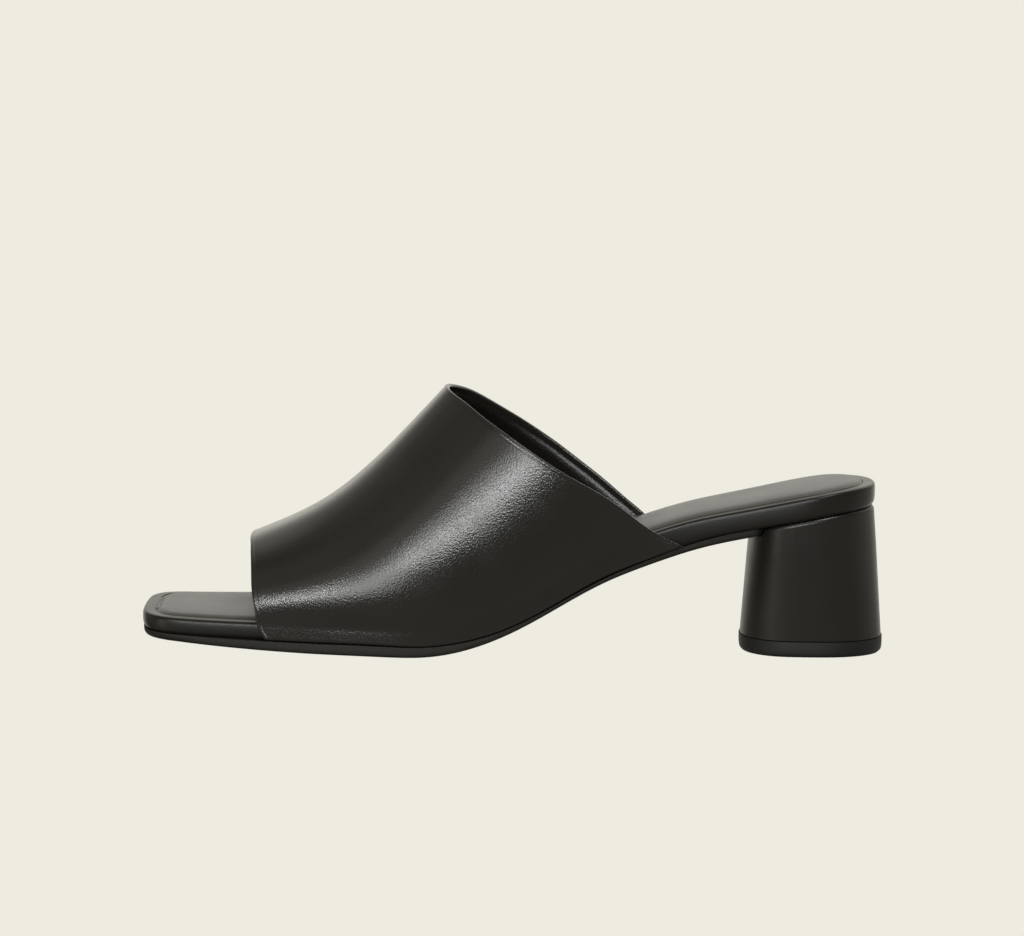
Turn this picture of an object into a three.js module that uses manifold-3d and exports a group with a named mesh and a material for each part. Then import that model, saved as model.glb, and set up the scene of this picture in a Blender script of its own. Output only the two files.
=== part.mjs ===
// Block heel mule with an open square toe: the left shoe, size EU 38, standing empty on a floor.
// Millimetres. Toe towards -X, outer side towards -Y, +Z up, origin under the middle of the shoe.
// Every piece is worked out along the shoe: x runs from the toe tip (0) to the back of the footbed.
import * as THREE from "three";
import Module from "manifold-3d";

const wasm = await Module();
wasm.setup();

// Driving dimensions of the last
const FOOTBED_LENGTH = 239.9; // toe tip to the back of the seat, measured level
const BALL_WIDTH = 75; // footbed at its widest
const SEAT_WIDTH = 54; // footbed over the heel
const SEAT_LIFT = 45.6; // how far the seat's back edge stands above the forefoot
const TOE_SPRING = 4.3; // how far the toe tip lifts off the floor
const THROAT_HEIGHT = 75; // top of the upper above the footbed
const TOE_CAP_LENGTH = 18; // corner of the soft square toe
const SEAT_CAP_LENGTH = 26; // round back of the seat

// Driving dimensions of the pieces
const GAP = 0.3; // between pieces that meet
const OUTSOLE_TOE = 1.7; // thickness of its edge
const OUTSOLE_BALL = 3.6;
const OUTSOLE_WAIST = 1.5;
const OUTSOLE_TAIL = 2.5;
const CAMBER_FOREPART = 1.5; // how far its edge stands above its middle
const CAMBER_WAIST = 0.5;
const OUTSOLE_BEVEL = 1.2; // along its lower edge, no more than half the edge's thickness
const OUTSOLE_LIP = 1.9; // how far its edge stands out past the footbed's
const OUTSOLE_TOE_ROLL = 2; // how much further its lower edge is rounded in under the toe
const TAIL_TUCK = 8.5; // length of the outsole between the heel and the footbed
const TAIL_INSET = 2.6; // how far the tail's sides stay inside the heel's
const FOOTBED_TOE = 5.1; // thickness of the wrapped board and its foam
const FOOTBED_BALL = 5.5;
const FOOTBED_WAIST = 7.4;
const FOOTBED_SEAT = 7.1;
const RIM_RADIUS = 1.2; // rounded upper edge of the footbed
const RIM_HEM = 0.8; // rounded lower edge of the footbed
const SOCK_MARGIN = 4; // footbed left bare around the insole
const SOCK_THICKNESS = 1.8;
const SOCK_PROUD = 0.5; // how far the insole's edge stands out of its recess
const SOCK_PROUD_TOE = 0.7; // the same in front of the ball, where its padding is thicker
const SOCK_CROWN = 0.7; // padding in the middle of the insole
const SOCK_ROUNDING = 0.8; // rounded upper edge of the insole
const UPPER_WALL = 2; // leather and lining together
const UPPER_FOLD = 0.7; // how far its folded edges round outwards
const SIDE_SWELL = 1.8; // how far its sides swell past the footbed
const RIDGE_SHIFT = 5; // how far its ridge runs towards the inner side
const HEEL_LENGTH = 41.3; // under the footbed, from the heel's breast to its back
const HEEL_FLARE = 5.2; // how much longer the heel is at its foot
const HEEL_FOOT_BACK = 2.8; // how far the heel's foot reaches back past the footbed
const HEEL_FOOT_WIDTH = 42.4;
const HEEL_CORNER = 13; // front corners of the heel, at its top
const HEEL_FOOT_CORNER = 18.2; // and at its foot
const HEEL_FOOT_ROUND = 22.1; // round back of the heel's foot
const HEEL_LIP = 1.1; // rounded upper edge of the heel cover
const TOP_LIFT = 5; // rubber tread under the heel
const TOP_LIFT_LIP = 0.4; // how far it stands out around the heel
const TOP_LIFT_EDGE = 0.7; // bevel around its tread

// How square the ends of an outline are: 2 is an ellipse, more is squarer.
const TOE_SQUARENESS = 3.8;
const SEAT_SQUARENESS = 2.2;
const HEEL_SQUARENESS = 2.3;
const TAIL_SQUARENESS = 2.6;

// How finely curves are cut
const CAP_STEPS = 8; // round the toe and the seat
const SIDE_STEPS = 24; // along the sides
const HEEL_CAP_STEPS = 10;
const HEEL_SIDE_STEPS = 3;
const ACROSS_STEPS = 8; // across a cambered or crowned face
const UPPER_STEPS = 26; // from the toe opening to the topline
const WALL_STEPS = 3; // up the footbed's side
const ARCH_STEPS = 38; // over the foot
const SIDE_CROWDING = 0.35; // how much closer the arch's steps lie low on the sides

// Outline of the footbed: how far each side reaches, as a share of the ball's or the seat's width.
const OUTLINE = [
  { at: 0.0, outer: 0.4, inner: 0.355, of: BALL_WIDTH },
  { at: 0.091, outer: 0.431, inner: 0.425, of: BALL_WIDTH },
  { at: 0.174, outer: 0.468, inner: 0.473, of: BALL_WIDTH },
  { at: 0.249, outer: 0.501, inner: 0.485, of: BALL_WIDTH },
  { at: 0.316, outer: 0.517, inner: 0.483, of: BALL_WIDTH },
  { at: 0.382, outer: 0.513, inner: 0.461, of: BALL_WIDTH },
  { at: 0.465, outer: 0.48, inner: 0.408, of: BALL_WIDTH },
  { at: 0.549, outer: 0.432, inner: 0.355, of: BALL_WIDTH },
  { at: 0.632, outer: 0.53, inner: 0.43, of: SEAT_WIDTH },
  { at: 0.715, outer: 0.487, inner: 0.41, of: SEAT_WIDTH },
  { at: 0.799, outer: 0.484, inner: 0.44, of: SEAT_WIDTH },
  { at: 0.873, outer: 0.494, inner: 0.48, of: SEAT_WIDTH },
  { at: 0.93, outer: 0.5, inner: 0.5, of: SEAT_WIDTH },
  { at: 1.0, outer: 0.5, inner: 0.5, of: SEAT_WIDTH },
];

// Underside seen from the side: spring as a share of TOE_SPRING and lift as a share of SEAT_LIFT.
// The line dips just below the floor under the ball, where the floor presses the outsole flat.
const PROFILE = [
  { at: 0.0, spring: 1.0, lift: 0.0 },
  { at: 0.093, spring: 0.48, lift: 0.0 },
  { at: 0.174, spring: 0.23, lift: 0.0 },
  { at: 0.246, spring: 0.1, lift: 0.0 },
  { at: 0.315, spring: 0.0, lift: 0.001 },
  { at: 0.35, spring: 0.0, lift: -0.006 },
  { at: 0.385, spring: 0.0, lift: -0.0075 },
  { at: 0.43, spring: 0.0, lift: 0.026 },
  { at: 0.496, spring: 0.0, lift: 0.1474 },
  { at: 0.56, spring: 0.0, lift: 0.332 },
  { at: 0.624, spring: 0.0, lift: 0.523 },
  { at: 0.688, spring: 0.0, lift: 0.658 },
  { at: 0.753, spring: 0.0, lift: 0.771 },
  { at: 0.842, spring: 0.0, lift: 0.8706 },
  { at: 0.905, spring: 0.0, lift: 0.9353 },
  { at: 0.963, spring: 0.0, lift: 0.9838 },
  { at: 1.0, spring: 0.0, lift: 1.0 },
];

// Footbed: its thickness along the shoe.
const FOOTBED_MAKE = [
  { at: 0.0, thick: FOOTBED_TOE },
  { at: 0.08, thick: 0.95 * FOOTBED_BALL },
  { at: 0.174, thick: FOOTBED_BALL },
  { at: 0.36, thick: FOOTBED_BALL },
  { at: 0.43, thick: 1.07 * FOOTBED_BALL },
  { at: 0.5, thick: 0.88 * FOOTBED_WAIST },
  { at: 0.62, thick: 1.05 * FOOTBED_WAIST },
  { at: 0.69, thick: 1.12 * FOOTBED_WAIST },
  { at: 0.78, thick: 0.98 * FOOTBED_SEAT },
  { at: 0.86, thick: FOOTBED_SEAT },
  { at: 1.0, thick: FOOTBED_SEAT },
];

// Outsole: thickness and camber of its edge, and how far that stands out past the footbed's edge.
const OUTSOLE_MAKE = [
  { at: 0.0, thick: OUTSOLE_TOE, camber: CAMBER_FOREPART, lip: -0.2 * OUTSOLE_LIP },
  { at: 0.08, thick: 0.72 * OUTSOLE_BALL, camber: CAMBER_FOREPART, lip: 0.26 * OUTSOLE_LIP },
  { at: 0.174, thick: 0.92 * OUTSOLE_BALL, camber: CAMBER_FOREPART, lip: OUTSOLE_LIP },
  { at: 0.36, thick: OUTSOLE_BALL, camber: CAMBER_FOREPART, lip: OUTSOLE_LIP },
  { at: 0.43, thick: 0.86 * OUTSOLE_BALL, camber: CAMBER_FOREPART, lip: OUTSOLE_LIP },
  { at: 0.5, thick: 1.33 * OUTSOLE_WAIST, camber: 0.87 * CAMBER_FOREPART, lip: OUTSOLE_LIP },
  { at: 0.62, thick: OUTSOLE_WAIST, camber: 1.5 * CAMBER_WAIST, lip: 0.84 * OUTSOLE_LIP },
  { at: 0.7, thick: 1.27 * OUTSOLE_WAIST, camber: CAMBER_WAIST, lip: 0.3 * OUTSOLE_LIP },
  { at: 0.775, thick: OUTSOLE_TAIL, camber: CAMBER_WAIST, lip: -0.5 * TAIL_INSET },
  { at: 0.83, thick: OUTSOLE_TAIL, camber: CAMBER_WAIST, lip: -0.95 * TAIL_INSET },
  { at: 1.0, thick: OUTSOLE_TAIL, camber: CAMBER_WAIST, lip: -TAIL_INSET },
];

// Sections of the last above the footbed: height of its ridge as a share of THROAT_HEIGHT, how square
// the arch is, and shares of SIDE_SWELL and RIDGE_SHIFT.
const SECTIONS = [
  { at: 0.14, ridge: 0.313, power: 2.5, swell: 0.22, shift: 0.5 },
  { at: 0.2, ridge: 0.397, power: 2.45, swell: 0.56, shift: 0.7 },
  { at: 0.265, ridge: 0.523, power: 2.35, swell: 0.89, shift: 0.9 },
  { at: 0.33, ridge: 0.716, power: 2.25, swell: 1.0, shift: 1.0 },
  { at: 0.395, ridge: 0.94, power: 2.15, swell: 0.89, shift: 1.0 },
  { at: 0.464, ridge: 1.14, power: 2.1, swell: 0.67, shift: 0.9 },
  { at: 0.553, ridge: 1.34, power: 2.1, swell: 0.56, shift: 0.7 },
  { at: 0.653, ridge: 1.47, power: 2.15, swell: 0.44, shift: 0.4 },
  { at: 0.782, ridge: 1.57, power: 2.2, swell: 0.33, shift: 0.0 },
];

// Topline seen from the side: height above the footbed on each side, as a share of THROAT_HEIGHT.
const TOPLINE = [
  { at: 0.39, outer: 1.02, inner: 1.025 },
  { at: 0.41, outer: 0.98, inner: 0.987 },
  { at: 0.437, outer: 0.922, inner: 0.938 },
  { at: 0.458, outer: 0.86, inner: 0.884 },
  { at: 0.481, outer: 0.788, inner: 0.814 },
  { at: 0.504, outer: 0.708, inner: 0.739 },
  { at: 0.533, outer: 0.598, inner: 0.632 },
  { at: 0.561, outer: 0.488, inner: 0.519 },
  { at: 0.594, outer: 0.362, inner: 0.376 },
  { at: 0.633, outer: 0.218, inner: 0.21 },
  { at: 0.665, outer: 0.096, inner: 0.078 },
  { at: 0.685, outer: 0.024, inner: 0.0 },
  { at: 0.7, outer: -0.02, inner: -0.062 },
  { at: 0.72, outer: -0.07, inner: -0.115 },
  { at: 0.732, outer: -0.1, inner: -0.145 },
  { at: 0.745, outer: -0.15, inner: -0.18 },
  { at: 0.76, outer: -0.21, inner: -0.22 },
];

// Toe opening seen from the side: place along the shoe by height above the footbed.
const TOE_OPENING = [
  { height: -0.12, at: 0.185 },
  { height: -0.065, at: 0.1745 },
  { height: -0.03, at: 0.1672 },
  { height: 0.03, at: 0.1628 },
  { height: 0.1, at: 0.159 },
  { height: 0.15, at: 0.1565 },
  { height: 0.24, at: 0.154 },
  { height: 0.3, at: 0.1508 },
  { height: 0.325, at: 0.1452 },
  { height: 0.34, at: 0.1355 },
  { height: 0.4, at: 0.126 },
];

// A smooth curve through a table's rows: a natural cubic spline, straight beyond its ends.
function curve(rows, column, key = "at") {
  const x = rows.map((row) => row[key]);
  const y = rows.map((row) => row[column]);
  const last = x.length - 1;
  const bend = new Array(last + 1).fill(0);
  const share = new Array(last + 1).fill(0);
  const rest = new Array(last + 1).fill(0);
  for (let i = 1; i < last; i++) {
    const before = x[i] - x[i - 1];
    const after = x[i + 1] - x[i];
    const slopeChange = (y[i + 1] - y[i]) / after - (y[i] - y[i - 1]) / before;
    const pivot = 2 * (before + after) - before * share[i - 1];
    share[i] = after / pivot;
    rest[i] = (6 * slopeChange - before * rest[i - 1]) / pivot;
  }
  for (let i = last - 1; i > 0; i--) bend[i] = rest[i] - share[i] * bend[i + 1];
  return (at) => {
    let i = 1;
    while (i < last && at > x[i]) i++;
    const span = x[i] - x[i - 1];
    const rise = (y[i] - y[i - 1]) / span;
    if (at < x[0]) return y[0] + (rise - (span * bend[1]) / 6) * (at - x[0]);
    if (at > x[last]) return y[last] + (rise + (span * bend[last - 1]) / 6) * (at - x[last]);
    const a = (x[i] - at) / span;
    const b = 1 - a;
    const cubic = (a ** 3 - a) * bend[i - 1] + (b ** 3 - b) * bend[i];
    return a * y[i - 1] + b * y[i] + (cubic * span * span) / 6;
  };
}

// The same curve read by a distance from the toe tip.
function along(rows, column) {
  const byShare = curve(rows, column);
  return (x) => byShare(x / FOOTBED_LENGTH);
}

const sideRows = OUTLINE.map((row) => ({
  at: row.at,
  outer: row.outer * row.of,
  inner: row.inner * row.of,
}));
const footbedSide = { outer: along(sideRows, "outer"), inner: along(sideRows, "inner") };
const springShare = along(PROFILE, "spring");
const liftShare = along(PROFILE, "lift");
const footbedThickness = along(FOOTBED_MAKE, "thick");
const outsoleThickness = along(OUTSOLE_MAKE, "thick");
const outsoleCamber = along(OUTSOLE_MAKE, "camber");
const outsoleLip = along(OUTSOLE_MAKE, "lip");

// Heights of the shoe's layers above the floor, x from the toe tip.
const walkingLine = (x) => springShare(x) * TOE_SPRING + liftShare(x) * SEAT_LIFT;
const outsoleTop = (x) => walkingLine(x) + outsoleCamber(x) + outsoleThickness(x);
const footbedBottom = (x) => outsoleTop(x) + GAP;
const footbedTop = (x) => footbedBottom(x) + footbedThickness(x);

// A closed outline, from the toe tip along the outer side to the back and home along the inner side.
// Its two ends are closed by superellipse caps. Points i and length - i face each other.
function outlineRing({ start, end, startCap, endCap, startPower, endPower, side, ...steps }) {
  const { capSteps = CAP_STEPS, sideSteps = SIDE_STEPS } = steps;
  const cap = (near, length, power) =>
    near >= length ? 1 : (1 - (1 - near / length) ** power) ** (1 / power);
  const places = [];
  for (let i = 0; i < capSteps; i++) {
    const turn = (i / capSteps) * (Math.PI / 2);
    places.push(start + startCap * (1 - Math.cos(turn) ** (2 / startPower)));
  }
  for (let i = 0; i <= sideSteps; i++) {
    places.push(start + startCap + ((end - endCap - start - startCap) * i) / sideSteps);
  }
  for (let i = capSteps - 1; i >= 0; i--) {
    const turn = (i / capSteps) * (Math.PI / 2);
    places.push(end - endCap * (1 - Math.cos(turn) ** (2 / endPower)));
  }
  const width = (name, x) =>
    side[name](x) * cap(x - start, startCap, startPower) * cap(end - x, endCap, endPower);
  const middle = (x) => (side.inner(x) - side.outer(x)) / 2;
  const first = places[0];
  const last = places[places.length - 1];
  const between = places.slice(1, -1);
  return [
    new THREE.Vector2(first, middle(first)),
    ...between.map((x) => new THREE.Vector2(x, -width("outer", x))),
    new THREE.Vector2(last, middle(last)),
    ...between.reverse().map((x) => new THREE.Vector2(x, width("inner", x))),
  ];
}

// The outline moved outwards along its own normals; inwards when the distance is negative.
function offsetRing(ring, distance) {
  return ring.map((point, i) => {
    const before = ring[(i + ring.length - 1) % ring.length];
    const after = ring[(i + 1) % ring.length];
    const normal = new THREE.Vector2(after.y - before.y, before.x - after.x).normalize();
    const far = typeof distance === "function" ? distance(point.x) : distance;
    return point.clone().addScaledVector(normal, far);
  });
}

// Gives each point of a flat outline its height.
function raise(ring, height) {
  return ring.map((p) => new THREE.Vector3(p.x, p.y, height(p.x, p.y)));
}

// A closed solid through a stack of rings. A cap across the lowest and the highest ring follows a
// height, in one column where that changes only along the shoe.
function stack(rings, bottom, top, bottomColumns = 1, topColumns = 1) {
  const count = rings[0].length;
  const half = count / 2;
  const points = rings.flat();
  const faces = [];
  for (let k = 0; k + 1 < rings.length; k++) {
    for (let i = 0; i < count; i++) {
      const a = k * count + i;
      const b = k * count + ((i + 1) % count);
      faces.push([a, b, b + count], [a, b + count, a + count]);
    }
  }
  const cap = (base, height, columns, flip) => {
    const row = (j) => {
      const near = points[base + j];
      const far = points[base + count - j];
      const ids = [base + j];
      for (let c = 1; c < columns; c++) {
        const p = near.clone().lerp(far, c / columns);
        ids.push(points.push(new THREE.Vector3(p.x, p.y, height(p.x, p.y))) - 1);
      }
      return [...ids, base + count - j];
    };
    const rows = [[base]];
    for (let j = 1; j < half; j++) rows.push(row(j));
    rows.push([base + half]);
    const add = (a, b, c) => faces.push(flip ? [a, c, b] : [a, b, c]);
    for (let j = 0; j < half; j++) {
      const here = rows[j];
      const next = rows[j + 1];
      for (let c = 0; c < columns; c++) {
        if (here.length === 1) add(here[0], next[c], next[c + 1]);
        else if (next.length === 1) add(here[c], next[0], here[c + 1]);
        else faces.push(...quad(here[c], next[c], next[c + 1], here[c + 1], flip));
      }
    }
  };
  cap(0, bottom, bottomColumns, true);
  cap((rings.length - 1) * count, top, topColumns, false);
  return solid(points, faces);
}

function quad(a, b, c, d, flip = false) {
  return flip ? [[a, c, b], [a, d, c]] : [[a, b, c], [a, c, d]];
}

function solid(points, faces) {
  const mesh = new wasm.Mesh({
    numProp: 3,
    vertProperties: new Float32Array(points.flatMap((p) => [p.x, p.y, p.z])),
    triVerts: new Uint32Array(faces.flat()),
  });
  return new wasm.Manifold(mesh);
}

// Footbed: a board and its foam, wrapped in leather, with a shallow recess for the insole.
const footbedOutline = outlineRing({
  start: 0,
  end: FOOTBED_LENGTH,
  startCap: TOE_CAP_LENGTH,
  endCap: SEAT_CAP_LENGTH,
  startPower: TOE_SQUARENESS,
  endPower: SEAT_SQUARENESS,
  side: footbedSide,
});

function makeFootbed() {
  const recess = SOCK_THICKNESS - SOCK_PROUD + GAP;
  const level = (inset, height) => raise(offsetRing(footbedOutline, -inset), height);
  const rounding = [0, 30, 60, 90].map((degrees) => {
    const turn = THREE.MathUtils.degToRad(degrees);
    const inset = RIM_RADIUS * (1 - Math.cos(turn));
    return level(inset, (x) => footbedTop(x) - RIM_RADIUS * (1 - Math.sin(turn)));
  });
  const floor = (x) => footbedTop(x) - recess;
  return stack(
    [
      level(RIM_HEM, footbedBottom),
      level(0, (x) => footbedBottom(x) + RIM_HEM),
      ...rounding,
      level(SOCK_MARGIN, footbedTop),
      level(SOCK_MARGIN, floor),
    ],
    footbedBottom,
    floor,
  );
}

// Insole: a padded leather sock, glued into the footbed's recess.
function makeInsole() {
  const edge = SOCK_MARGIN + GAP;
  const extra = (x) => {
    const share = 1 - THREE.MathUtils.smoothstep(x / FOOTBED_LENGTH, 0.1, 0.42);
    return (SOCK_PROUD_TOE - SOCK_PROUD) * share;
  };
  const underside = (x) => footbedTop(x) - SOCK_THICKNESS + SOCK_PROUD;
  const face = (x) => footbedTop(x) + SOCK_PROUD + extra(x);
  const rounding = (x) => SOCK_ROUNDING + extra(x);
  const inset = (share, height) =>
    raise(offsetRing(footbedOutline, (x) => -edge - rounding(x) * share), height);
  const crowned = (x, y) => {
    const side = y < 0 ? footbedSide.outer(x) : footbedSide.inner(x);
    const across = Math.min(1, Math.abs(y) / (side - edge));
    const ends = Math.min(1, x / (2 * TOE_CAP_LENGTH), (FOOTBED_LENGTH - x) / SEAT_CAP_LENGTH);
    return face(x) + SOCK_CROWN * (1 - across ** 4) * Math.max(0, ends);
  };
  return stack(
    [
      inset(0, underside),
      inset(0, (x) => face(x) - rounding(x)),
      inset(0.3, (x) => face(x) - rounding(x) * 0.3),
      inset(1, face),
    ],
    underside,
    crowned,
    1,
    ACROSS_STEPS,
  );
}

// Outsole: a thin rubber sheet, cambered across, that runs flat on the floor under the ball and
// ends in a tail between the heel and the footbed. Growing it by a clearance gives the heel's slot.
const heelFront = FOOTBED_LENGTH - HEEL_LENGTH;
const tailEnd = heelFront + TAIL_TUCK;

function makeOutsole(grow = 0) {
  const outline = outlineRing({
    start: 0,
    end: tailEnd,
    startCap: TOE_CAP_LENGTH,
    endCap: TAIL_TUCK,
    startPower: TOE_SQUARENESS,
    endPower: TAIL_SQUARENESS,
    side: footbedSide,
  });
  const edge = offsetRing(outline, (x) => outsoleLip(x) + grow);
  const across = (x, y) => {
    const side = y < 0 ? footbedSide.outer(x) : footbedSide.inner(x);
    return Math.min(1, Math.abs(y) / side);
  };
  const under = (x, y) => {
    const curved = walkingLine(x) + outsoleCamber(x) * across(x, y) ** 3;
    return Math.max(0, curved) - grow;
  };
  const top = (x) => outsoleTop(x) + grow;
  const bevel = (x) => Math.min(OUTSOLE_BEVEL, outsoleThickness(x) / 2);
  const toe = (x) => 1 - THREE.MathUtils.smoothstep(x, 0, TOE_CAP_LENGTH);
  const inward = (share) =>
    offsetRing(edge, (x) => -(bevel(x) + OUTSOLE_TOE_ROLL * toe(x)) * share);
  const rolled = (x) => bevel(x) + 0.6 * toe(x) * (outsoleThickness(x) - bevel(x));
  return stack(
    [
      raise(inward(1), under),
      raise(inward(0.3), (x, y) => under(x, y) + rolled(x) * 0.3),
      raise(edge, (x, y) => under(x, y) + rolled(x)),
      raise(edge, top),
    ],
    under,
    top,
    ACROSS_STEPS,
    1,
  );
}

// Heel: a block wrapped in leather. Its top follows the seat, and it is ruled down to a rounded foot.
const heelSteps = { capSteps: HEEL_CAP_STEPS, sideSteps: HEEL_SIDE_STEPS };
const heelFootEnd = FOOTBED_LENGTH + HEEL_FOOT_BACK;
const heelFootHalf = () => HEEL_FOOT_WIDTH / 2;
const heelTopRing = outlineRing({
  start: heelFront,
  end: FOOTBED_LENGTH,
  startCap: HEEL_CORNER,
  endCap: SEAT_CAP_LENGTH,
  startPower: HEEL_SQUARENESS,
  endPower: SEAT_SQUARENESS,
  side: footbedSide,
  ...heelSteps,
});
const heelFootRing = outlineRing({
  start: heelFootEnd - HEEL_LENGTH - HEEL_FLARE,
  end: heelFootEnd,
  startCap: HEEL_FOOT_CORNER,
  endCap: HEEL_FOOT_ROUND,
  startPower: HEEL_SQUARENESS,
  endPower: SEAT_SQUARENESS,
  side: { outer: heelFootHalf, inner: heelFootHalf },
  ...heelSteps,
});

function makeHeel() {
  const foot = TOP_LIFT + GAP;
  const seat = (x) => footbedBottom(x) - GAP;
  const topRing = offsetRing(heelTopRing, -GAP);
  const between = (share, below) =>
    topRing.map((p, i) => {
      const base = heelFootRing[i];
      const top = seat(p.x) - below;
      return new THREE.Vector3(
        base.x + (p.x - base.x) * share,
        base.y + (p.y - base.y) * share,
        foot + (top - foot) * share,
      );
    });
  const lip = raise(offsetRing(topRing, -HEEL_LIP * 0.7), seat);
  const block = stack(
    [between(0, 0), between(0.33, 0), between(0.67, 0), between(1, HEEL_LIP), lip],
    () => foot,
    seat,
  );
  return block.subtract(makeOutsole(GAP));
}

// Top lift: the rubber tread nailed under the heel.
function makeTopLift() {
  const edge = offsetRing(heelFootRing, TOP_LIFT_LIP);
  const flat = (height) => () => height;
  return stack(
    [
      raise(offsetRing(edge, -TOP_LIFT_EDGE), flat(0)),
      raise(edge, flat(TOP_LIFT_EDGE)),
      raise(edge, flat(TOP_LIFT)),
    ],
    flat(0),
    flat(TOP_LIFT),
  );
}

// Upper: one wall of leather and lining over the last, from the toe opening to the topline,
// open underneath where the footbed and the outsole close it.
const ridgeShare = along(SECTIONS, "ridge");
const archPower = along(SECTIONS, "power");
const swell = along(SECTIONS, "swell");
const ridgeShift = along(SECTIONS, "shift");
const topline = { outer: along(TOPLINE, "outer"), inner: along(TOPLINE, "inner") };
const toeEdge = curve(TOE_OPENING, "at", "height");
const WALL_SHARE = WALL_STEPS / (2 * WALL_STEPS + ARCH_STEPS);

// Half width of the upper's outer face where it passes the footbed.
function upperSide(name, x) {
  const step = 0.5;
  const slope = (footbedSide[name](x + step) - footbedSide[name](x - step)) / (2 * step);
  return footbedSide[name](x) + (GAP + UPPER_WALL) * Math.hypot(1, slope);
}

// Height of the wall beside the footbed; share runs from 0 at the outsole to 1 at the footbed's top.
function wallHeight(x, share) {
  const foot = outsoleTop(x) + GAP;
  return foot + (footbedTop(x) - foot) * share;
}

// A point of the upper's outer face: v runs from 0 at the outer side's foot over to 1 at the inner's,
// closer together low on the sides, where the topline runs out.
function upperPoint(x, v) {
  if (v < WALL_SHARE) {
    return new THREE.Vector3(x, -upperSide("outer", x), wallHeight(x, v / WALL_SHARE));
  }
  if (v > 1 - WALL_SHARE) {
    return new THREE.Vector3(x, upperSide("inner", x), wallHeight(x, (1 - v) / WALL_SHARE));
  }
  const share = (v - WALL_SHARE) / (1 - 2 * WALL_SHARE);
  const turn = Math.PI * share - SIDE_CROWDING * Math.sin(2 * Math.PI * share);
  const exponent = 2 / archPower(x);
  const up = Math.max(0, Math.sin(turn)) ** exponent;
  const out = Math.abs(Math.cos(turn)) ** exponent;
  const name = turn < Math.PI / 2 ? "outer" : "inner";
  const sign = name === "outer" ? -1 : 1;
  const shift = ridgeShift(x) * RIDGE_SHIFT;
  const reach = upperSide(name, x) - sign * shift;
  const bulge = swell(x) * SIDE_SWELL * 4 * up * (1 - up);
  const height = ridgeShare(x) * THROAT_HEIGHT * up;
  return new THREE.Vector3(x, shift + sign * (reach * out + bulge), footbedTop(x) + height);
}

// Where a line along the shoe at v meets an edge; above is positive once the line has passed it.
function crossing(low, high, above) {
  let a = low;
  let b = high;
  for (let i = 0; i < 40; i++) {
    const middle = (a + b) / 2;
    if (above(middle) > 0) b = middle;
    else a = middle;
  }
  return (a + b) / 2;
}

function upperFront(v) {
  return crossing(FOOTBED_LENGTH * 0.1, FOOTBED_LENGTH * 0.2, (x) => {
    const height = (upperPoint(x, v).z - footbedTop(x)) / THROAT_HEIGHT;
    return x - toeEdge(height) * FOOTBED_LENGTH;
  });
}

function upperBack(v) {
  const ease = THREE.MathUtils.smoothstep(v, 0.35, 0.65);
  return crossing(FOOTBED_LENGTH * 0.3, FOOTBED_LENGTH * 0.78, (x) => {
    const share = topline.outer(x) * (1 - ease) + topline.inner(x) * ease;
    return upperPoint(x, v).z - footbedTop(x) - share * THROAT_HEIGHT;
  });
}

function makeUpper() {
  const acrossSteps = 2 * WALL_STEPS + ARCH_STEPS;
  const outer = [];
  for (let u = 0; u <= UPPER_STEPS; u++) outer.push([]);
  for (let k = 0; k <= acrossSteps; k++) {
    const v = k / acrossSteps;
    const front = upperFront(v);
    const back = upperBack(v);
    for (let u = 0; u <= UPPER_STEPS; u++) {
      outer[u].push(upperPoint(front + ((back - front) * u) / UPPER_STEPS, v));
    }
  }
  const inner = outer.map((row, u) =>
    row.map((point, k) => {
      const ahead = outer[Math.min(u + 1, UPPER_STEPS)][k];
      const behind = outer[Math.max(u - 1, 0)][k];
      const over = row[Math.min(k + 1, acrossSteps)].clone().sub(row[Math.max(k - 1, 0)]);
      const normal = ahead.clone().sub(behind).cross(over).normalize();
      const moved = point.clone().addScaledVector(normal, -UPPER_WALL);
      const beside = Math.min(k, acrossSteps - k);
      if (beside <= WALL_STEPS) moved.z = wallHeight(moved.x, beside / WALL_STEPS);
      return moved;
    }),
  );
  return wallBetween(outer, inner);
}

// A closed wall between two grids of points, with its open edges rounded fore and aft.
function wallBetween(outer, inner) {
  const last = outer.length - 1;
  const side = outer[0].length - 1;
  const width = side + 1;
  const inside = (last + 1) * width;
  const points = [...outer.flat(), ...inner.flat()];
  const faces = [];
  for (let u = 0; u < last; u++) {
    for (let k = 0; k < side; k++) {
      const a = u * width + k;
      faces.push(...quad(a, a + width, a + width + 1, a + 1));
      faces.push(...quad(inside + a, inside + a + width, inside + a + width + 1, inside + a + 1, true));
    }
    for (const k of [0, side]) {
      const a = u * width + k;
      faces.push(...quad(a, inside + a, inside + a + width, a + width, k === side));
    }
  }
  for (const [u, next] of [[0, 1], [last, last - 1]]) {
    const flip = u === 0;
    const folds = outer[u].map((point, k) => {
      const edge = point.clone().add(inner[u][k]).multiplyScalar(0.5);
      const away = point.clone().sub(outer[next][k]).normalize();
      return points.push(edge.addScaledVector(away, UPPER_FOLD)) - 1;
    });
    for (let k = 0; k < side; k++) {
      const a = u * width + k;
      faces.push(...quad(a, folds[k], folds[k + 1], a + 1, flip));
      faces.push(...quad(folds[k], inside + a, inside + a + 1, folds[k + 1], flip));
    }
    for (const k of [0, side]) {
      const a = u * width + k;
      const turned = (k === side) !== flip;
      faces.push(turned ? [a, folds[k], inside + a] : [a, inside + a, folds[k]]);
    }
  }
  return solid(points, faces);
}

function geometryOf(manifold) {
  const { vertProperties, triVerts } = manifold.getMesh();
  const geometry = new THREE.BufferGeometry();
  geometry.setAttribute("position", new THREE.BufferAttribute(vertProperties, 3));
  geometry.setIndex(new THREE.BufferAttribute(triVerts, 1));
  geometry.computeVertexNormals();
  return geometry;
}

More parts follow.
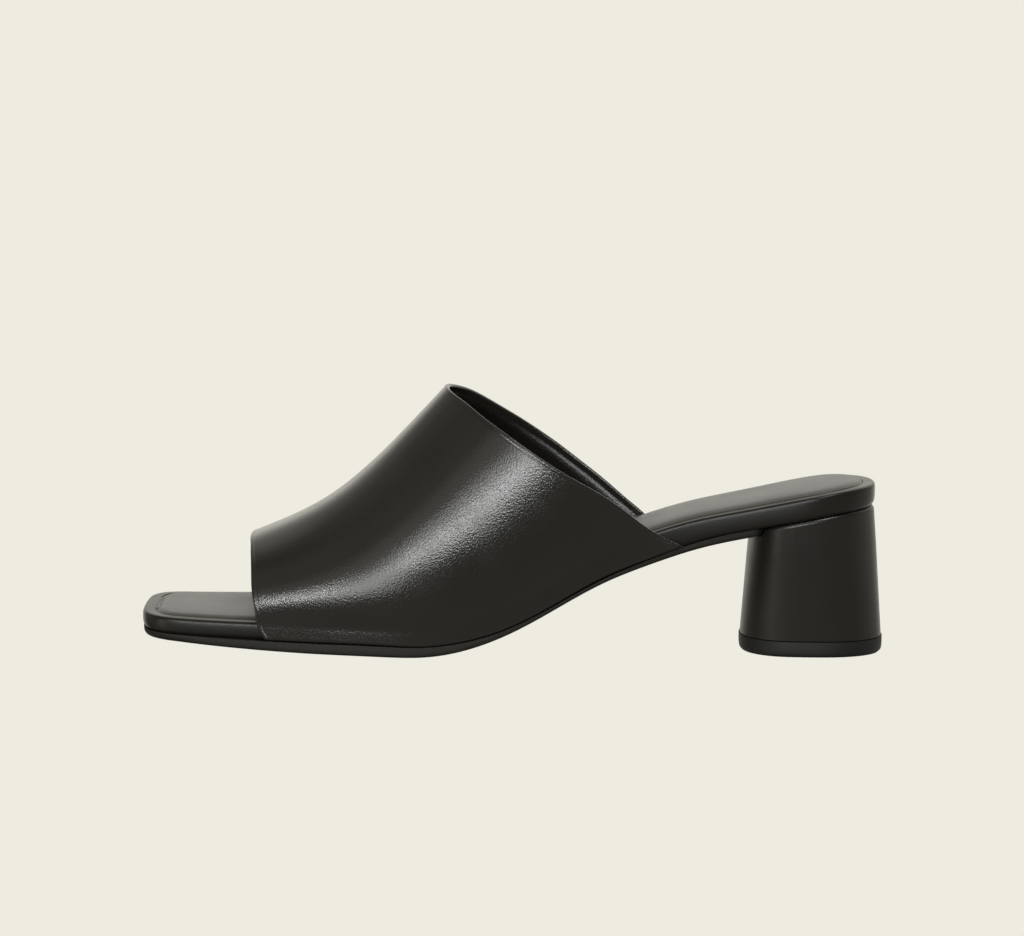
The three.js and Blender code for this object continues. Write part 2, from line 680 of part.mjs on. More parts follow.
// Every piece and its finish
const PIECES = [
  { name: "outsole", made: makeOutsole(), color: 0x161614, roughness: 0.65 },
  { name: "footbed", made: makeFootbed(), color: 0x262523, roughness: 0.55 },
  { name: "insole", made: makeInsole(), color: 0x34332f, roughness: 0.6 },
  { name: "upper", made: makeUpper(), color: 0x1c1c1d, roughness: 0.4 },
  { name: "heel", made: makeHeel(), color: 0x1b1c1c, roughness: 0.5 },
  { name: "top_lift", made: makeTopLift(), color: 0x151514, roughness: 0.7 },
];

const shoe = new THREE.Group();
for (const { name, made, color, roughness } of PIECES) {
  const material = new THREE.MeshStandardMaterial({ color, roughness, metalness: 0 });
  const mesh = new THREE.Mesh(geometryOf(made), material);
  mesh.name = name;
  shoe.add(mesh);
}

// The origin lies on the floor under the middle of the shoe's box.
const box = new THREE.Box3().setFromObject(shoe);
const middle = box.getCenter(new THREE.Vector3());
shoe.position.set(-middle.x, -middle.y, -box.min.z);

export default shoe;
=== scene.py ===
"""Block heel mule in black leather on a pale floor. Metres, toe towards -X, outer side towards -Y."""
import math

import bmesh
import bpy
import numpy as np
from mathutils import Matrix, Vector
from mathutils.kdtree import KDTree


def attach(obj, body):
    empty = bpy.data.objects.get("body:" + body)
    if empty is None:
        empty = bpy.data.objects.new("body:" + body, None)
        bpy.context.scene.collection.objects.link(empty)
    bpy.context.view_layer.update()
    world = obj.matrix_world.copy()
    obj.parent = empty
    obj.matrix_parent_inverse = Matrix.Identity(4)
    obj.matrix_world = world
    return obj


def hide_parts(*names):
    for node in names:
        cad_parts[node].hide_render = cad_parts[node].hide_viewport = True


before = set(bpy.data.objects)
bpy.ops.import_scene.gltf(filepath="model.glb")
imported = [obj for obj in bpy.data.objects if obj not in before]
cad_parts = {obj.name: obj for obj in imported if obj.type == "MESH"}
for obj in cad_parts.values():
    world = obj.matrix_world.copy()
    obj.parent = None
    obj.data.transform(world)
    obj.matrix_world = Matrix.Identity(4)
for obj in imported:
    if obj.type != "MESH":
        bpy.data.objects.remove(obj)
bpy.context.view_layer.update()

# Camera
# A long lens about 1.5 m from the outer side of the shoe and a little above it, turned slightly about
# its own axis, as the photograph was taken.
MM = 0.001
CAMERA_PLACE = Vector((-1.1, -1500, 238.5)) * MM
CAMERA_AIM = Vector((-1.1, 0, 58.7)) * MM
CAMERA_ROLL = math.radians(0.65)
SENSOR_WIDTH = 36  # mm
FOCAL_LENGTH = 4600  # px of the photograph
PHOTO_WIDTH = 1024  # px
FARTHEST_SEEN = 20  # m

camera = bpy.data.objects.new("camera", bpy.data.cameras.new("camera"))
camera.data.sensor_width = SENSOR_WIDTH
camera.data.lens = SENSOR_WIDTH * FOCAL_LENGTH / PHOTO_WIDTH
camera.data.clip_end = FARTHEST_SEEN
facing = (CAMERA_AIM - CAMERA_PLACE).to_track_quat("-Z", "Y").to_matrix().to_4x4()
camera.matrix_world = Matrix.Translation(CAMERA_PLACE) @ facing @ Matrix.Rotation(CAMERA_ROLL, 4, "Z")
bpy.context.scene.collection.objects.link(camera)
bpy.context.scene.camera = camera

# Outsole
# A thin moulded rubber sheet, glued under the lasted upper, with a bevelled edge. It is dull, a little
# lighter where it is scuffed, and finely pebbled.
SOLE_BLACK = "#1c1b18"
SOLE_SCUFFED = "#2a2924"
PEBBLE = 0.9  # mm between pebbles, drawn about twice as coarse as real ones, which are too fine to show
PEBBLE_HEIGHT = 0.05  # mm
SCUFF_SIZE = 9  # mm across a scuffed patch
LEAST_SCUFFED = -0.08  # what that adds to the roughness
MOST_SCUFFED = 0.12
SAME_CORNER = 0.002  # mm: corners of the frame's loose triangles that are closer are one corner
SAME_FACE = math.radians(30)  # triangles that turn less than this may be halves of one four-sided face
WIDE_FACE = 15  # mm: a face longer than this lies flat across the shoe
RIM_TURN = math.radians(20)  # the border of such a face stays sharp where it turns more than this
SHARP_TURN = math.radians(50)  # any edge stays sharp where it turns more than this


def linear(code):
    """An sRGB hex value as the linear colour that a shader takes."""
    parts = [int(code[i : i + 2], 16) / 255 for i in (1, 3, 5)]
    return [p / 12.92 if p <= 0.04045 else ((p + 0.055) / 1.055) ** 2.4 for p in parts] + [1]


def joined(node):
    """A node's loose triangles with their shared corners merged."""
    shape = bmesh.new()
    shape.from_mesh(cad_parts[node].data)
    bmesh.ops.remove_doubles(shape, verts=shape.verts, dist=SAME_CORNER * MM)
    return shape


def finished(name, mesh, covering, levels=0):
    """A smooth object in this material: subdivided, or with its normals evened out between sharp edges."""
    for face in mesh.polygons:
        face.use_smooth = True
    piece = bpy.data.objects.new(name, mesh)
    bpy.context.scene.collection.objects.link(piece)
    if levels:
        surface = piece.modifiers.new("surface", "SUBSURF")
        surface.levels = surface.render_levels = levels
    else:
        piece.modifiers.new("shading", "WEIGHTED_NORMAL").keep_sharp = True
    view = bpy.context.evaluated_depsgraph_get()
    piece.data = bpy.data.meshes.new_from_object(piece.evaluated_get(view), depsgraph=view)
    piece.modifiers.clear()
    piece.data.name = name
    piece.data.materials.clear()
    piece.data.materials.append(covering)
    return piece


def smoothed(name, node, covering, levels=2):
    """The node's own shape with its curves made fine: flat faces and true edges stay sharp."""
    shape = joined(node)
    bmesh.ops.join_triangles(
        shape, faces=shape.faces, angle_face_threshold=SAME_FACE, angle_shape_threshold=math.pi
    )
    crease = shape.edges.layers.float.new("crease_edge")
    wide = {face for face in shape.faces if max(e.calc_length() for e in face.edges) > WIDE_FACE * MM}
    for edge in shape.edges:
        turn = edge.calc_face_angle(0)
        border = len(wide.intersection(edge.link_faces)) == 1 and turn > RIM_TURN
        edge[crease] = 1.0 if border or turn > SHARP_TURN else 0.0
        edge.smooth = edge[crease] == 0
    mesh = bpy.data.meshes.new(name)
    shape.to_mesh(mesh)
    shape.free()
    return finished(name, mesh, covering, levels)


def add(tree, kind, links=(), **settings):
    """One shader node with its settings; links are (its input, the socket that feeds it)."""
    node = tree.nodes.new(kind)
    for key, value in settings.items():
        if key in node.inputs:
            node.inputs[key].default_value = value
        else:
            setattr(node, key, value)
    for key, socket in links:
        tree.links.new(node.inputs[key], socket)
    return node


def material(name, roughness, specular=0.5, sheen=0.0):
    """A new material with its shader node."""
    made = bpy.data.materials.new(name)
    made.use_nodes = True
    shader = made.node_tree.nodes["Principled BSDF"]
    shader.inputs["Roughness"].default_value = roughness
    shader.inputs["Specular IOR Level"].default_value = specular
    shader.inputs["Sheen Weight"].default_value = sheen
    return made, made.node_tree, shader


def moulded_rubber(name, dark, light, roughness, grit, relief):
    """Rubber from a mould: an even grit, with paler and duller scuffs; grit and relief in mm."""
    made, tree, shader = material(name, roughness, specular=0.35)
    place = add(tree, "ShaderNodeTexCoord").outputs["Object"]
    scuff = add(tree, "ShaderNodeTexNoise", [("Vector", place)], Scale=1 / (SCUFF_SIZE * MM), Detail=6.0)
    shades = {"data_type": "RGBA", "A": linear(dark), "B": linear(light)}
    tone = add(tree, "ShaderNodeMix", [("Factor", scuff.outputs["Fac"])], **shades)
    tree.links.new(shader.inputs["Base Color"], tone.outputs["Result"])
    dullness = {"To Min": roughness + LEAST_SCUFFED, "To Max": roughness + MOST_SCUFFED}
    dull = add(tree, "ShaderNodeMapRange", [("Value", scuff.outputs["Fac"])], **dullness)
    tree.links.new(shader.inputs["Roughness"], dull.outputs["Result"])
    pebble = add(tree, "ShaderNodeTexVoronoi", [("Vector", place)], Scale=1 / (grit * MM))
    height = pebble.outputs["Distance"]
    bump = add(tree, "ShaderNodeBump", [("Height", height)], Strength=1.0, Distance=relief * MM)
    tree.links.new(shader.inputs["Normal"], bump.outputs["Normal"])
    return made


# Soft rubber straight from the mould looks almost matt, warm black and grey where it is rubbed.
rubber = moulded_rubber(
    "moulded_rubber", SOLE_BLACK, SOLE_SCUFFED, roughness=0.6, grit=PEBBLE, relief=PEBBLE_HEIGHT
)
outsole = smoothed("outsole_sheet", "outsole", rubber)
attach(outsole, "root")
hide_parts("outsole")

# Footbed
# The shaped board with its foam, wrapped in thin smooth leather that is turned under at the edge. Its
# rim is soft and rounded and takes a dull light along the top.
WRAP_BLACK = "#1a1916"
WRAP_WORN = "#24231f"
WRAP_GRAIN = 0.5  # mm between pores, drawn coarser than the real 0.2 mm or so, which is too fine to show
WRAP_RELIEF = 0.012  # mm
CLOUD_SIZE = 14  # mm across a lighter or darker cloud in the dye
CLOUD_DARK = 0.3  # the noise stays between these two nearly everywhere
CLOUD_LIGHT = 0.7
RUBBED = 0.03  # how much smoother the lighter clouds are, and how much rougher the darker ones


def smooth_leather(name, dark, light, roughness, grain, relief, specular=0.5, sheen=0.0):
    """Dyed leather: cloudy tone, pores and finer wrinkles between them; grain and relief in mm."""
    made, tree, shader = material(name, roughness, specular, sheen)
    place = add(tree, "ShaderNodeTexCoord").outputs["Object"]
    cloud = add(tree, "ShaderNodeTexNoise", [("Vector", place)], Scale=1 / (CLOUD_SIZE * MM), Detail=6.0)
    shades = {"data_type": "RGBA", "A": linear(dark), "B": linear(light)}
    tone = add(tree, "ShaderNodeMix", [("Factor", cloud.outputs["Fac"])], **shades)
    tree.links.new(shader.inputs["Base Color"], tone.outputs["Result"])
    wear = {"From Min": CLOUD_DARK, "From Max": CLOUD_LIGHT}
    wear.update({"To Min": roughness + RUBBED, "To Max": roughness - RUBBED})
    rubbed = add(tree, "ShaderNodeMapRange", [("Value", cloud.outputs["Fac"])], **wear)
    tree.links.new(shader.inputs["Roughness"], rubbed.outputs["Result"])
    pores = add(tree, "ShaderNodeTexVoronoi", [("Vector", place)], Scale=1 / (grain * MM)).outputs["Distance"]
    wrinkles = add(tree, "ShaderNodeTexNoise", [("Vector", place)], Scale=1 / (grain * MM), Detail=2.0)
    height = add(tree, "ShaderNodeMath", [(0, pores), (1, wrinkles.outputs["Fac"])], operation="ADD")
    bump = add(tree, "ShaderNodeBump", [("Height", height.outputs[0])], Strength=1.0, Distance=relief * MM)
    tree.links.new(shader.inputs["Normal"], bump.outputs["Normal"])
    return made


# Thin leather stretched over foam looks flat and even, with one soft dull line of light along its edge.
wrap = smooth_leather(
    "wrapped_leather",
    WRAP_BLACK,
    WRAP_WORN,
    roughness=0.3,
    grain=WRAP_GRAIN,
    relief=WRAP_RELIEF,
    specular=0.35,
)
footbed = smoothed("footbed_wrap", "footbed", wrap)
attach(footbed, "root")
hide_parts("footbed")

# Insole
# A sock of soft lining leather over thin foam, glued into the footbed. In front of the ball its padding
# is fuller, and its edge is soft and laps onto the footbed's rim.
SOCK_BLACK = "#312e29"
SOCK_WORN = "#403c35"
SOCK_GRAIN = 0.6  # mm between pores, drawn coarser than the real ones, which are too fine to show
SOCK_RELIEF = 0.03  # mm
SOCK_SPREAD = 0.22  # mm that it is pressed out against the sides of its recess
SOCK_OVERLAP = 2.6  # mm more that it laps onto the rim in front of the ball
BALL = -25  # mm from the middle of the shoe: the padding gets fuller from here
FULL_PADDING = 50  # mm further on it is full
TIP_OVERLAP = 1.1  # mm more again round the toe, where it runs out to the rounded edge
TIP_LENGTH = 14  # mm
TIP_RAMP = 0.7  # share of that length over which the tip's own lap grows
SOFT_EDGE = 3  # mm over which the padding falls away to its edge in front of the ball
SOFT_EDGE_DROP = 1.25  # mm
TIP_RISE = 0.3  # share of that drop that is left out at the tip
SEAT_CROWN = 0.5  # mm that the padding rises inside its edge under the heel
SIDE_STEEPNESS = 0.9  # a normal that rises or falls less than this is on the sock's side
TOP_SLOPE = 0.2  # one that rises more than this is on its top

# Lining leather is left without a finish: it looks dry, soft and warm, and pales where light skims it.
lining_leather = smooth_leather(
    "lining_leather", SOCK_BLACK, SOCK_WORN, roughness=0.4, grain=SOCK_GRAIN, relief=SOCK_RELIEF, sheen=0.2
)
insole = smoothed("insole_sock", "insole", lining_leather)
corners = np.array([v.co for v in insole.data.vertices]) / MM
normals = np.array([v.normal for v in insole.data.vertices])
on_side = np.abs(normals[:, 2]) < SIDE_STEEPNESS
outline = KDTree(int(on_side.sum()))
for index, (x, y, _) in enumerate(corners[on_side]):
    outline.insert((x, y, 0), index)
outline.balance()
toe = corners[:, 0].min()
for vertex, (x, y, _), normal in zip(insole.data.vertices, corners, normals):
    front = min(1.0, max(0.0, (BALL - x) / FULL_PADDING))
    tip = min(1.0, max(0.0, (toe + TIP_LENGTH - x) / (TIP_RAMP * TIP_LENGTH)))
    if abs(normal[2]) < SIDE_STEEPNESS:
        spread = SOCK_SPREAD + SOCK_OVERLAP * front + TIP_OVERLAP * tip
        vertex.co.x += normal[0] / math.hypot(normal[0], normal[1]) * spread * MM
        vertex.co.y += normal[1] / math.hypot(normal[0], normal[1]) * spread * MM
    near_edge = max(0.0, 1 - outline.find((x, y, 0))[2] / SOFT_EDGE) ** 2
    if normal[2] > TOP_SLOPE:
        vertex.co.z -= SOFT_EDGE_DROP * MM * near_edge * (1 - TIP_RISE * tip) * front
        vertex.co.z += SEAT_CROWN * MM * (1 - near_edge) * (1 - front)
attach(insole, "root")
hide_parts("insole")

# Upper
# One piece of smooth calf leather, drawn over the last in a single curve, with its edges folded in at the
# toe opening and the topline, and its feet lasted under the footbed.
CALF_BLACK = "#23221f"
CALF_SOFT = "#2a2925"
CALF_GRAIN = 0.6  # mm between pores, drawn coarser than the real ones, which are too fine to show
CALF_RELIEF = 0.025  # mm
CALF_THICKNESS = 1.6  # mm: the leather with its folded edges
FOLD = 0.7  # mm that a folded edge rounds outwards
FOLD_TURNS = (15, 40, 65, 90, 115, 140, 165)  # degrees round a folded edge
EDGE_SQUARENESS = 0.6  # 1 would round the fold fully
BEAD_WIDTH = 0.8  # mm: the leather lies a little fuller along a folded edge
BEAD_HEIGHT = 0.05  # mm
BEAD_TOP = 0.7  # share of its width that has its full height
GROOVE = 0.06  # mm deep, where the bead ends
GROOVE_PLACE = 1.15  # bead widths from the edge
GROOVE_WIDTH = 0.16  # mm
FEATHER = 1.1  # mm: radius at which the upper turns in under the footbed
FEATHER_DEPTH = 0.8  # share of that radius that it turns in
EDGE_ROWS = (0, 0.2, 0.4, 0.7, 0.95, 1.2, 1.35, 1.5, 1.65, 1.9, 2.3, 3.0)  # mm from a folded edge
MIDDLE_ROWS = 80
FINE_COLUMNS = 3  # for each column of the wall
FOOT_COLUMNS = (0, 0.08, 0.18, 0.32, 0.5, 0.75)  # closer together where the upper turns in
WALL_TURN = math.radians(38)  # inside one face of the wall no edge turns more than this
STEPS_PER_ROW = 20  # for measuring along the wall
ROUNDING = 1e-6  # what a sum may be off by


def wall_grid(node):
    """The outer face of a wall as a grid of points: row from the toe, column across, xyz."""
    shape = joined(node)
    smooth = {e for e in shape.edges if e.calc_face_angle(math.pi) < WALL_TURN}
    taken = set()
    patches = []
    for start in shape.faces:
        if start in taken:
            continue
        patch = [start]
        taken.add(start)
        for here in patch:
            for edge in smooth.intersection(here.edges):
                for neighbour in edge.link_faces:
                    if neighbour not in taken:
                        taken.add(neighbour)
                        patch.append(neighbour)
        patches.append(patch)
    patches.sort(key=len)
    grids = [grid_of(set(patch)) for patch in patches[-2:]]
    shape.free()
    return max(grids, key=lambda grid: np.ptp(grid[:, :, 1]))


def grid_of(patch):
    """Rows of points of a patch whose squares are each cut in two along the same diagonal."""
    follow = {}
    for face in patch:
        for loop in face.loops:
            if not any(f in patch for f in loop.edge.link_faces if f is not face):
                follow[loop.vert] = loop.link_loop_next.vert
    touches = {v: sum(f in patch for f in v.link_faces) for v in follow}
    sides = []
    for corner in (v for v in follow if touches[v] < 3):
        side = [corner, follow[corner]]
        while touches[side[-1]] == 3:
            side.append(follow[side[-1]])
        sides.append(side)
    long_sides = sorted(sides, key=len)[-2:]
    row = min(long_sides, key=lambda side: sum(v.co.x for v in side) / len(side))
    rows = [row]
    used = set()
    while True:
        beyond = []
        for pair in zip(row, row[1:]):
            faces = [f for f in pair[0].link_faces if f in patch and f not in used and pair[1] in f.verts]
            used.update(faces)
            beyond += [v for f in faces for v in f.verts if v not in pair]
        if len(beyond) < len(row) - 1:
            return np.array([[list(v.co) for v in row] for row in rows])
        for end in (0, -1):
            for face in row[end].link_faces:
                if face in patch and face not in used and beyond[end] in face.verts:
                    corner = [v for v in face.verts if v not in (row[end], beyond[end])]
                    beyond = corner + beyond if end == 0 else beyond + corner
                    used.add(face)
        for pair in zip(beyond, beyond[1:]):
            touching = [f for f in pair[0].link_faces if f in patch and pair[1] in f.verts]
            used.update(f for f in touching if set(f.verts) & set(row))
        row = beyond
        rows.append(row)


def smooth_through(points, places):
    """A natural cubic spline through evenly numbered points, read at these places."""
    count = len(points)
    system = np.eye(count)
    change = np.zeros((count, points[0].size))
    flat = points.reshape(count, -1)
    for i in range(1, count - 1):
        system[i, i - 1 : i + 2] = 1, 4, 1
        change[i] = 6 * (flat[i + 1] - 2 * flat[i] + flat[i - 1])
    bend = np.linalg.solve(system, change)
    low = np.clip(places.astype(int), 0, count - 2)
    after = (places - low)[:, None]
    before = 1 - after
    curved = (before**3 - before) * bend[low] + (after**3 - after) * bend[low + 1]
    found = before * flat[low] + after * flat[low + 1] + curved / 6
    return found.reshape(len(places), *points.shape[1:])


def by_distance(line):
    """Places along a line of points, from its start: a function of the distance in mm, and its length."""
    fine = np.linspace(0, len(line) - 1, STEPS_PER_ROW * len(line))
    steps = np.linalg.norm(np.diff(smooth_through(line, fine), axis=0), axis=1) / MM
    run = np.concatenate([[0], np.cumsum(steps)])
    return (lambda distance: np.interp(distance, run, fine)), run[-1]


def soft_step(low, high, value):
    """0 below low, 1 above high, and a smooth rise between them."""
    share = np.clip((value - low) / (high - low), 0, 1)
    return share * share * (3 - 2 * share)


coarse = wall_grid("upper")
if coarse[0, 0, 1] > coarse[0, -1, 1]:
    coarse = coarse[:, ::-1]
last_column = coarse.shape[1] - 1
foot = np.array(FOOT_COLUMNS)
inner_columns = np.arange(1, last_column - 1 + ROUNDING, 1 / FINE_COLUMNS)
across = np.concatenate([foot, inner_columns, last_column - foot[::-1]])
columns = smooth_through(coarse.transpose(1, 0, 2), across)
edge_rows = np.array(EDGE_ROWS)
outer_face = []
from_toe = []
for line in columns:
    place, length = by_distance(line)
    middle = np.linspace(EDGE_ROWS[-1], length - EDGE_ROWS[-1], MIDDLE_ROWS)[1:-1]
    distance = np.concatenate([edge_rows, middle, length - edge_rows[::-1]])
    outer_face.append(smooth_through(line, place(distance)))
    from_toe.append(distance)
outer_face = np.array(outer_face)
from_toe = np.array(from_toe)
to_edge = np.minimum(from_toe, from_toe[:, -1:] - from_toe)
outward = np.cross(np.gradient(outer_face, axis=1), np.gradient(outer_face, axis=0))
outward /= np.linalg.norm(outward, axis=2, keepdims=True)
ridge = outward[len(outward) // 2]
if ridge[:, 2].mean() < 0:
    outward = -outward
girth = np.cumsum(np.linalg.norm(np.diff(outer_face, axis=0), axis=2) / MM, axis=0)
from_outer_foot = np.concatenate([np.zeros((1, girth.shape[1])), girth])
from_foot = np.minimum(from_outer_foot, from_outer_foot[-1:] - from_outer_foot)


def shell(name, covering, outside, inside, set_back, fold):
    """A closed wall between two depths below the upper's face, in mm, with rounded edges."""
    keep = np.where((to_edge >= set_back - ROUNDING).all(axis=0))[0]
    kept = slice(keep[0], keep[-1] + 1)
    top = outer_face[:, kept] - outward[:, kept] * outside[:, kept, None] * MM
    under = outer_face[:, kept] - outward[:, kept] * inside[:, kept, None] * MM
    turns = np.radians(FOLD_TURNS)
    across_edge = np.sign(np.cos(turns)) * np.abs(np.cos(turns)) ** EDGE_SQUARENESS
    past_edge = np.sin(turns) ** EDGE_SQUARENESS
    ends = []
    for row, next_row in ((-1, -2), (0, 1)):
        middle = (top[:, row] + under[:, row]) / 2
        half = (top[:, row] - under[:, row]) / 2
        away = top[:, row] - top[:, next_row]
        away /= np.linalg.norm(away, axis=1, keepdims=True)
        ends.append([middle + half * c + away * fold * MM * s for c, s in zip(across_edge, past_edge)])
    # The rings run up the outside, round the topline's fold, down the inside and round the toe's fold
    rows = top.shape[1]
    rings = [top[:, i] for i in range(rows)]
    rings += ends[0]
    rings += [under[:, i] for i in reversed(range(rows))]
    rings += ends[1][::-1]
    points = np.array(rings)
    around, count = points.shape[:2]
    number = np.arange(around * count).reshape(around, count)
    ahead = np.roll(number, -1, axis=0)
    quads = np.stack([number[:, :-1], ahead[:, :-1], ahead[:, 1:], number[:, 1:]], axis=-1).reshape(-1, 4)
    faces = [tuple(int(v) for v in q) for q in quads]
    # Each foot is closed by a strip between outside and inside and a cap at each fold
    last_inside = 2 * rows + len(turns) - 1
    for column in (0, count - 1):
        closing = [(i, i + 1, last_inside - i - 1, last_inside - i) for i in range(rows - 1)]
        closing.append([rows - 1 + i for i in range(len(turns) + 2)])
        closing.append([(last_inside + i) % around for i in range(len(turns) + 2)])
        faces += [tuple(int(number[k, column]) for k in ring) for ring in closing]
    mesh = bpy.data.meshes.new(name)
    mesh.from_pydata([tuple(p) for p in points.reshape(-1, 3)], [], faces)
    closed = bmesh.new()
    closed.from_mesh(mesh)
    bmesh.ops.recalc_face_normals(closed, faces=closed.faces)
    closed.to_mesh(mesh)
    closed.free()
    return finished(name, mesh, covering)


bead = BEAD_HEIGHT * (1 - soft_step(BEAD_TOP * BEAD_WIDTH, BEAD_WIDTH, to_edge))
groove = GROOVE * np.exp(-(((to_edge - GROOVE_PLACE * BEAD_WIDTH) / GROOVE_WIDTH) ** 2))
turned_in = FEATHER * (1 - np.sqrt(1 - (1 - np.clip(from_foot / FEATHER, 0, 1)) ** 2))
skin = -bead + groove + turned_in * FEATHER_DEPTH

# Aniline calf is dyed through and polished, not covered: deep black, with broad satin lights whose edges
# are broken up by the pores.
calf = smooth_leather(
    "aniline_calf", CALF_BLACK, CALF_SOFT, roughness=0.17, grain=CALF_GRAIN, relief=CALF_RELIEF
)
upper = shell("upper_leather", calf, skin, np.full_like(skin, CALF_THICKNESS), 0, FOLD)
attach(upper, "root")
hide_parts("upper")

# Lining of the upper
# Thin lining leather glued inside, cut back from the folded edges, so that its own edge shows as a fine
# step round the topline and the toe opening.
# Both lining colours are darker than the leather alone: painted shade for the inside of the upper.
LINING_BLACK_WITH_SHADE = "#151310"
LINING_SOFT_WITH_SHADE = "#1d1b16"
LINING_GRAIN = 0.9  # mm between the bristle pores, a little coarser than the real ones, to show
LINING_RELIEF = 0.03  # mm
LINING_SET_BACK = 1.9  # mm
LINING_THICKNESS = 0.45  # mm
LINING_LAP = 0.03  # mm that it is pressed into the calf's flesh side
LINING_FULLNESS = 0.3  # mm that it stands off the leather, away from its edge
FULL_AFTER = 0.8  # mm from its edge over which that grows

# Pigskin lining has large pores and a light glaze, with a short dull shine. Its colour is darker than the
# calf's, partly as painted shade for the inside of the upper.
pigskin = smooth_leather(
    "pigskin_lining_painted_shade", LINING_BLACK_WITH_SHADE, LINING_SOFT_WITH_SHADE, roughness=0.28, grain=LINING_GRAIN, relief=LINING_RELIEF
)
fullness = LINING_FULLNESS * (1 - np.exp(-((np.maximum(0, to_edge - LINING_SET_BACK) / FULL_AFTER) ** 2)))
upper_lining = shell(
    "upper_lining",
    pigskin,
    np.full_like(skin, CALF_THICKNESS - LINING_LAP),
    CALF_THICKNESS + LINING_THICKNESS + fullness,
    LINING_SET_BACK,
    LINING_THICKNESS / 2,
)
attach(upper_lining, "root")
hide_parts("upper")

# Heel
# A block of hard plastic, wider at its foot, with a round back. It is covered in the footbed's leather,
# glued on tight, and is screwed on from inside, through the footbed.
HEEL_SETTLE = 0.008  # the share by which the cover stops short of the footbed

# The same leather on a hard block has no wrinkles: it looks taut, with long upright lights.
heel_leather = smooth_leather(
    "heel_leather", WRAP_BLACK, WRAP_WORN, roughness=0.33, grain=WRAP_GRAIN, relief=WRAP_RELIEF
)
heel = smoothed("heel_cover", "heel", heel_leather, levels=0)
foot_of_heel = min(v.co.z for v in heel.data.vertices)
for vertex in heel.data.vertices:
    vertex.co.z -= (vertex.co.z - foot_of_heel) * HEEL_SETTLE
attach(heel, "root")
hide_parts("heel")

# Top lift
# A slice of hard rubber under the heel that takes the wear. It is cut to the heel's foot, stands out a
# little around it, and is nailed on from below.
LIFT_BLACK = "#181817"
LIFT_SCUFFED = "#232321"
LIFT_GRIT = 0.6  # mm between buffing marks, drawn coarser than the real ones, which are too fine to show
LIFT_RELIEF = 0.02  # mm

# Hard rubber that was cut and buffed is denser and cooler black than the sole, and a little smoother.
hard_rubber = moulded_rubber(
    "hard_rubber", LIFT_BLACK, LIFT_SCUFFED, roughness=0.5, grit=LIFT_GRIT, relief=LIFT_RELIEF
)
top_lift = smoothed("top_lift_tread", "top_lift", hard_rubber)
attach(top_lift, "root")
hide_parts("top_lift")

# Floor and light
# A pale seamless sweep, lit evenly. The shoe itself is lit by a slanting row of soft lamps in front, one
# lamp high above the heel's side, and weak broad glows from the sweep all round it.
FLOOR_COLOUR = "#eeebe0"
FLOOR_REACH = 6  # m to each side
FLOOR_DROP = 0.2  # mm below the sole
LAMP_DISTANCE = 9  # m
# A scratch program fitted these two tables to the photograph's highlights. They were then rounded, and
# some of the strengths were changed.
LAMPS = (  # degrees from the camera's side towards the heel, degrees up, width in degrees, radiance
    (10, 14.2, 6.3, 13.5),
    (2, 16.9, 7.6, 11.6),
    (-8, 8.4, 17.4, 4.4),
    (-16, 2.2, 10, 1.2),
    (-23, 8, 6.4, 17),
    (-25, 16.3, 6.3, 7.8),
    (-4, 24.3, 9.6, 3.7),
    (37, 56, 17.3, 8),
)
GLOWS = (  # the same two angles, how far the glow reaches in degrees, radiance at its middle
    (-19, 26.7, 20, 0.79),
    (-55, 0, 20, 1.4),
    (-180, -15, 45, 0.8),
    (-120, -15, 45, 0.13),
    (-60, -20, 45, 0.47),
    (60, -15, 45, 0.27),
    (120, -15, 45, 0.42),
    (180, 20, 45, 0.36),
    (-110, 25, 45, 0.24),
    (150, 50, 50, 1.05),
    (-30, 60, 40, 0.29),
    (0, -30, 40, 0.23),
)

# The floor shows one even colour to the camera and lets the light of the lamps and glows through.
floor_mesh = bpy.data.meshes.new("floor")
floor_corners = [(x * FLOOR_REACH, y * FLOOR_REACH, 0) for x, y in ((-1, -1), (1, -1), (1, 1), (-1, 1))]
floor_mesh.from_pydata(floor_corners, [], [(0, 1, 2, 3)])
floor = bpy.data.objects.new("floor", floor_mesh)
floor.location.z = -FLOOR_DROP * MM
bpy.context.scene.collection.objects.link(floor)
floor_paint, floor_tree, _ = material("evenly_lit_floor", 0.9)
colour = add(floor_tree, "ShaderNodeEmission", Color=linear(FLOOR_COLOUR)).outputs[0]
clear = add(floor_tree, "ShaderNodeBsdfTransparent").outputs[0]
to_camera = add(floor_tree, "ShaderNodeLightPath").outputs["Is Camera Ray"]
floor_look = add(floor_tree, "ShaderNodeMixShader", [(0, to_camera), (1, clear), (2, colour)]).outputs[0]
floor_tree.links.new(floor_tree.nodes["Material Output"].inputs["Surface"], floor_look)
floor_mesh.materials.append(floor_paint)


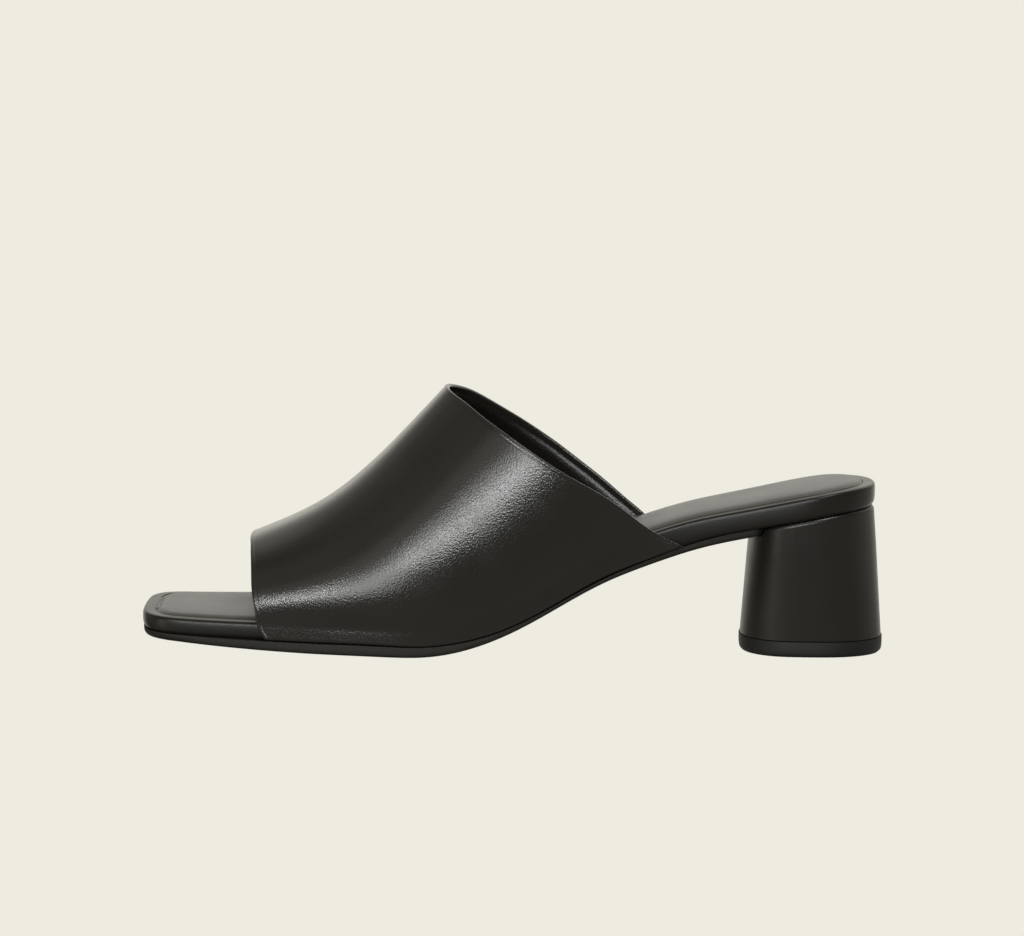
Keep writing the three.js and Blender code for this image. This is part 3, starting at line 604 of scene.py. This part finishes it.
def from_angles(azimuth, elevation):
    """The direction of a light, from its two angles in degrees."""
    azimuth, elevation = math.radians(azimuth), math.radians(elevation)
    level = math.cos(elevation)
    return Vector((math.sin(azimuth) * level, -math.cos(azimuth) * level, math.sin(elevation)))


for index, (azimuth, elevation, width, radiance) in enumerate(LAMPS):
    lamp = bpy.data.lights.new(f"lamp_{index}", "AREA")
    lamp.shape = "SQUARE"
    lamp.size = 2 * LAMP_DISTANCE * math.tan(math.radians(width / 2))
    lamp.energy = radiance * 4 * lamp.size**2
    placed = bpy.data.objects.new(lamp.name, lamp)
    placed.location = from_angles(azimuth, elevation) * LAMP_DISTANCE
    placed.rotation_euler = placed.location.to_track_quat("Z", "Y").to_euler()
    placed.visible_camera = False
    bpy.context.scene.collection.objects.link(placed)

world = bpy.data.worlds.new("studio")
world.use_nodes = True
sky = world.node_tree
toward = add(sky, "ShaderNodeTexCoord").outputs["Generated"]
total = add(sky, "ShaderNodeValue").outputs[0]
total.default_value = 0
for azimuth, elevation, spread, radiance in GLOWS:
    nearness = add(sky, "ShaderNodeVectorMath", [(0, toward)], operation="DOT_PRODUCT")
    nearness.inputs[1].default_value = from_angles(azimuth, elevation)
    fade = {"interpolation_type": "SMOOTHSTEP", "To Max": radiance}
    fade["From Min"] = math.cos(math.radians(spread))
    glow = add(sky, "ShaderNodeMapRange", [("Value", nearness.outputs["Value"])], **fade)
    total = add(sky, "ShaderNodeMath", [(0, total), (1, glow.outputs[0])], operation="ADD").outputs[0]
glowing = add(sky, "ShaderNodeBackground", [("Strength", total)], Color=linear(FLOOR_COLOUR)).outputs[0]
plain = add(sky, "ShaderNodeBackground", Color=linear(FLOOR_COLOUR), Strength=1.0).outputs[0]
to_camera = add(sky, "ShaderNodeLightPath").outputs["Is Camera Ray"]
backdrop = add(sky, "ShaderNodeMixShader", [(0, to_camera), (1, glowing), (2, plain)]).outputs[0]
sky.links.new(sky.nodes["World Output"].inputs["Surface"], backdrop)
bpy.context.scene.world = world
bpy.context.scene.view_settings.view_transform = "Standard"
